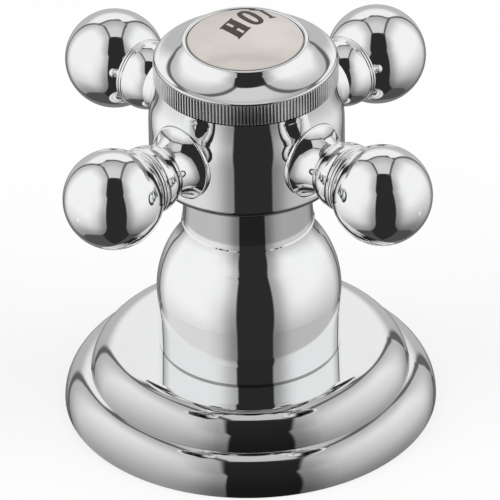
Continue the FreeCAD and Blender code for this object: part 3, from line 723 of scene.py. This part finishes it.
# The tent that the polished metal mirrors. All are degrees: bearing 0 is behind the tap, 90 on its
# right, and height 0 is level. The side panels have no top edge of their own: the ceiling ends them.
LEFT_PANEL = {"middle": -101.0, "half_width": 64.0, "foot": -58.0, "top": 110.0, "corner": 26.0}
RIGHT_PANEL = {"middle": 91.5, "half_width": 60.0, "foot": -59.0, "top": 110.0, "corner": 28.0}
REAR_PANEL = {"middle": -3.0, "half_width": 32.5, "foot": -75.0, "top": 48.0, "corner": 9.0}
OPENING = {"middle": 173.0, "half_width": 40.0, "foot": -110.0, "top": 90.0, "corner": 8.0}
# The ceiling seen from below, with the sky's edge at 1: it ends this far in front of the middle, and
# its sides stand this far to the left and right there and lean outwards behind and before that line.
CEILING_FRONT = 0.15
CEILING_LEFT = {"half_width": 0.17, "behind": 0.256, "before": 0.145}
CEILING_RIGHT = {"half_width": 0.30, "behind": 0.09, "before": 0.20}
CEILING_DEGREES = 60.0
OPENING_LEVEL = 0.026
WHITE = (1.0, 1.0, 1.0, 1.0)


def inside_ceiling(wire, aside, behind, side):
    """How far, in degrees, a direction lies inside one long side of the ceiling."""
    edge = wire.maths("MULTIPLY_ADD", wire.most(behind, 0.0), side["behind"], side["half_width"])
    edge = wire.maths("MULTIPLY_ADD", wire.least(behind, 0.0), -side["before"], edge)
    return wire.times(wire.minus(edge, aside), CEILING_DEGREES)


def panel_glow(wire, outside):
    """A lit cloth: a crisp edge, and softly brighter towards the middle."""
    crisp = wire.ramp(outside, 0.7, -2.3, 0.0, 0.56)
    return wire.plus(crisp, wire.ramp(outside, -1.5, -24.0, 0.0, 0.44))


def tent_level(wire):
    """How bright the tent is in each direction that the polished metal mirrors."""
    x, y, z = wire.split(wire.tree.nodes.new("ShaderNodeTexCoord").outputs["Generated"])
    bearing = wire.times(wire.maths("ARCTAN2", x, y), math.degrees(1.0))
    height = wire.times(wire.maths("ARCSINE", z), math.degrees(1.0))

    def outside(panel):
        return wire.group(shader_group("soft_panel"), bearing=bearing, height=height, **panel)["Outside"]

    behind = wire.plus(y, CEILING_FRONT)
    # Degrees by which the ceiling's lines give way lower down, where the panels' own edges hold.
    near_horizon = wire.ramp(z, 0.7, 0.2, 0.0, 14.0)
    under_left = inside_ceiling(wire, wire.times(x, -1.0), behind, CEILING_LEFT)
    under_right = inside_ceiling(wire, x, behind, CEILING_RIGHT)
    left = wire.most(outside(LEFT_PANEL), wire.minus(under_left, near_horizon))
    right = wire.most(outside(RIGHT_PANEL), wire.minus(under_right, near_horizon))
    rear = outside(REAR_PANEL)
    under_front = wire.times(behind, CEILING_DEGREES)
    opening = wire.least(outside(OPENING), wire.plus(under_front, wire.times(near_horizon, 6.0)))

    left_glow = wire.times(panel_glow(wire, left), wire.ramp(height, -62.0, -8.0, 0.50, 0.95))
    inner_fall = wire.times(wire.ramp(bearing, -120.0, -162.0, 0.0, 0.42),
                            wire.ramp(height, 20.0, -20.0, 0.3, 1.0))
    left_glow = wire.times(left_glow, wire.minus(1.0, inner_fall))
    right_glow = wire.times(panel_glow(wire, right), wire.ramp(height, -62.0, 8.0, 0.28, 0.95))
    right_glow = wire.times(right_glow, wire.ramp(bearing, 152.0, 112.0, 0.66, 1.0))
    rear_glow = wire.times(wire.ramp(rear, 0.5, -4.0), wire.ramp(height, 8.0, 27.0, 0.50, 0.92))
    rear_glow = wire.times(rear_glow, wire.ramp(height, -32.0, -12.0, 0.36, 1.0))

    past_panels = wire.minus(wire.least(left, right, rear), 2.0)
    ceiling = wire.times(wire.ramp(wire.least(past_panels, under_front), -0.5, 2.0),
                         wire.ramp(height, 46.0, 80.0, 0.40, 0.66))
    ceiling = wire.times(ceiling, wire.above(z, 0.6))
    seam = wire.times(wire.ramp(height, -62.0, -48.0, 0.055, 0.11), wire.ramp(opening, -6.0, 6.0))
    return wire.plus(wire.most(left_glow, right_glow, rear_glow, wire.most(seam, ceiling)), OPENING_LEVEL)


def make_tent(context):
    """Plain white to the eye and to dull surfaces, and for the polished metal a tent with two side
    panels, a rear panel, a ceiling, dark seams and a dark opening at the front."""
    world = bpy.data.worlds.new("studio_tent")
    context.scene.world = world
    world.use_nodes = True
    nodes, links = world.node_tree.nodes, world.node_tree.links
    wire = Wiring(world.node_tree)
    level = tent_level(wire)
    grey = nodes.new("ShaderNodeCombineColor")
    for socket in grey.inputs[:3]:
        links.new(level, socket)
    seen = nodes.new("ShaderNodeLightPath").outputs
    mirrored = wire.most(seen["Is Glossy Ray"], seen["Is Transmission Ray"])
    background = nodes["Background"].inputs
    links.new(wire.mix(mirrored, WHITE, grey.outputs[0]), background["Color"])
    shown = wire.most(mirrored, seen["Is Camera Ray"])
    links.new(wire.ramp(shown, 0.0, 1.0, 0.62, 1.0, smooth=False), background["Strength"])


def make_lamp(context, name, place, power):
    """A soft square lamp, aimed at the middle of the tap, that nothing mirrors."""
    aim = Vector((0.0, 0.0, 0.03))
    lamp = bpy.data.lights.new(name, "AREA")
    lamp.shape = "SQUARE"
    lamp.size = context.scene.tap_stage.softbox
    lamp.energy = power
    holder = bpy.data.objects.new(name, lamp)
    holder.location = place
    holder.rotation_euler = (aim - Vector(place)).to_track_quat("-Z", "Y").to_euler()
    holder.visible_camera = False
    holder.visible_glossy = False
    context.scene.collection.objects.link(holder)


def make_camera(context, stage):
    """The photograph's view. The fitted axis meets the picture above its middle, so the camera
    is turned a little down and aside from it."""
    picture = 500
    axis_across = 248.0
    axis_down = 215.6
    camera = bpy.data.cameras.new("camera")
    camera.lens = stage.lens
    camera.sensor_width = 36.0
    camera.clip_start = 0.1
    camera.clip_end = 20.0
    holder = bpy.data.objects.new("camera", camera)
    context.scene.collection.objects.link(holder)
    back = Vector((0.0, -math.cos(stage.elevation), math.sin(stage.elevation)))
    holder.location = Vector(stage.target) + back * stage.distance
    level = (-back).to_track_quat("-Z", "Y").to_matrix().to_4x4()
    rolled = level @ Matrix.Rotation(-stage.roll, 4, "Z")
    focal = stage.lens / camera.sensor_width * picture
    sideways = math.atan((picture / 2 - axis_across) / focal)
    downwards = math.atan((picture / 2 - axis_down) / focal)
    turned = rolled @ Matrix.Rotation(-sideways, 4, "Y") @ Matrix.Rotation(-downwards, 4, "X")
    holder.rotation_euler = turned.to_euler()
    context.scene.camera = holder
    context.scene.view_settings.view_transform = "Standard"


# ---------------------------------------------------------------- operators

class TAP_OT_plate(bpy.types.Operator):
    """Plate the flange, the bell, the hub and the arms with polished chromium"""
    bl_idname = "tap.plate"
    bl_label = "Chromium Plate"

    def execute(self, context):
        dress(polished_plate(context.scene.tap_finishes), *PLATED_NODES)
        return {"FINISHED"}


class TAP_OT_cap(bpy.types.Operator):
    """Build the knurled cap"""
    bl_idname = "tap.cap"
    bl_label = "Knurled Cap"

    def execute(self, context):
        sizes = context.scene.tap_cap
        plate = polished_plate(context.scene.tap_finishes, sizes)
        cap = finished(cap_mesh(sizes), "knurled_cap", "cap", plate)
        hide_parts("index_cap")
        return {"FINISHED"}


class TAP_OT_button(bpy.types.Operator):
    """Glaze the porcelain button and fire the word HOT on it"""
    bl_idname = "tap.button"
    bl_label = "Porcelain Button"

    def execute(self, context):
        finishes = context.scene.tap_finishes
        dress(glazed_porcelain(finishes), "index_button")
        enamel = fired_lettering(finishes)
        for name, draw, (x, y), along, up in LETTERS:
            letter_piece(name, draw, (x * MM, y * MM), math.radians(along), math.radians(up), enamel)
        return {"FINISHED"}


class TAP_OT_headwork(bpy.types.Operator):
    """Finish the brass, steel and ceramic of the headwork and the handle's fixings"""
    bl_idname = "tap.headwork"
    bl_label = "Headwork"

    def execute(self, context):
        finishes = context.scene.tap_finishes
        dress(machined_brass(finishes), "bonnet", "bell_nut", "spindle")
        dress(turned_steel("stainless_steel", finishes.steel, rough=0.22), "hub_washer", "handle_screw")
        dress(turned_steel("spring_steel", finishes.spring, rough=0.3), "spindle_clip")
        alumina = plain_body("lapped_alumina", finishes.alumina, grain_size=0.00025, smooth=0.12,
                             rough=0.3, relief=0.000004, spread=0.04)
        dress(alumina, "fixed_disc", "moving_disc")
        return {"FINISHED"}


class TAP_OT_seals(bpy.types.Operator):
    """Finish the rubber, fibre and nylon pieces"""
    bl_idname = "tap.seals"
    bl_label = "Seals and Bushes"

    def execute(self, context):
        finishes = context.scene.tap_finishes
        rubber = plain_body("nitrile_rubber", finishes.rubber, grain_size=0.0003, smooth=0.42,
                            rough=0.62, relief=0.00001, spread=0.25, gloss=0.35)
        dress(rubber, "seat_seal", "spindle_ring_lower", "spindle_ring_upper", "cap_ring")
        foam = plain_body("foam_rubber", finishes.foam, grain_size=0.0004, smooth=0.75,
                          rough=0.95, relief=0.00012, spread=0.3, gloss=0.25)
        dress(foam, "flange_gasket")
        fibre = plain_body("pressed_fibre", finishes.fibre, grain_size=0.00035, smooth=0.6,
                           rough=0.85, relief=0.00002, spread=0.2, gloss=0.3)
        dress(fibre, "bell_washer", "valve_washer")
        nylon = plain_body("moulded_nylon", finishes.nylon, grain_size=0.0003, smooth=0.35,
                           rough=0.5, relief=0.000006, spread=0.04)
        dress(nylon, "friction_washer", "guide_bush", "spline_bush")
        return {"FINISHED"}


class TAP_OT_stage(bpy.types.Operator):
    """Set the floor, the soft light and the camera"""
    bl_idname = "tap.stage"
    bl_label = "Stage"

    def execute(self, context):
        stage = context.scene.tap_stage
        make_floor(stage)
        make_tent(context)
        make_lamp(context, "left_softbox", place=(-0.9, -0.3, 0.9), power=7.0)
        make_lamp(context, "right_softbox", place=(0.9, -0.2, 1.1), power=9.0)
        make_camera(context, stage)
        return {"FINISHED"}


class TAP_PT_panel(bpy.types.Panel):
    bl_idname = "TAP_PT_panel"
    bl_label = "Cross Handle Tap"
    bl_space_type = "VIEW_3D"
    bl_region_type = "UI"
    bl_category = "Tap"

    def draw(self, context):
        for group, operators in PANEL_ROWS:
            box = self.layout.box()
            settings = getattr(context.scene, group)
            for name in settings.__annotations__:
                box.prop(settings, name)
            for operator in operators:
                box.operator(operator.bl_idname)


OPERATORS = (TAP_OT_plate, TAP_OT_cap, TAP_OT_button, TAP_OT_headwork, TAP_OT_seals, TAP_OT_stage)
PANEL_ROWS = (("tap_finishes", (TAP_OT_plate, TAP_OT_headwork, TAP_OT_seals)),
              ("tap_cap", (TAP_OT_cap,)),
              ("tap_letters", (TAP_OT_button,)),
              ("tap_stage", (TAP_OT_stage,)))
SETTINGS = {"tap_finishes": TapFinishes, "tap_cap": TapCapSizes, "tap_letters": TapLetterSizes,
            "tap_stage": TapStage}
CLASSES = tuple(SETTINGS.values()) + OPERATORS + (TAP_PT_panel,)


def register():
    for item in CLASSES:
        bpy.utils.register_class(item)
    for name, group in SETTINGS.items():
        setattr(bpy.types.Scene, name, PointerProperty(type=group))


def unregister():
    for name in SETTINGS:
        delattr(bpy.types.Scene, name)
    for item in reversed(CLASSES):
        bpy.utils.unregister_class(item)


def main():
    register()
    bpy.ops.tap.plate()
    bpy.ops.tap.cap()
    bpy.ops.tap.button()
    bpy.ops.tap.headwork()
    bpy.ops.tap.seals()
    bpy.ops.tap.stage()


if __name__ == "__main__":
    main()
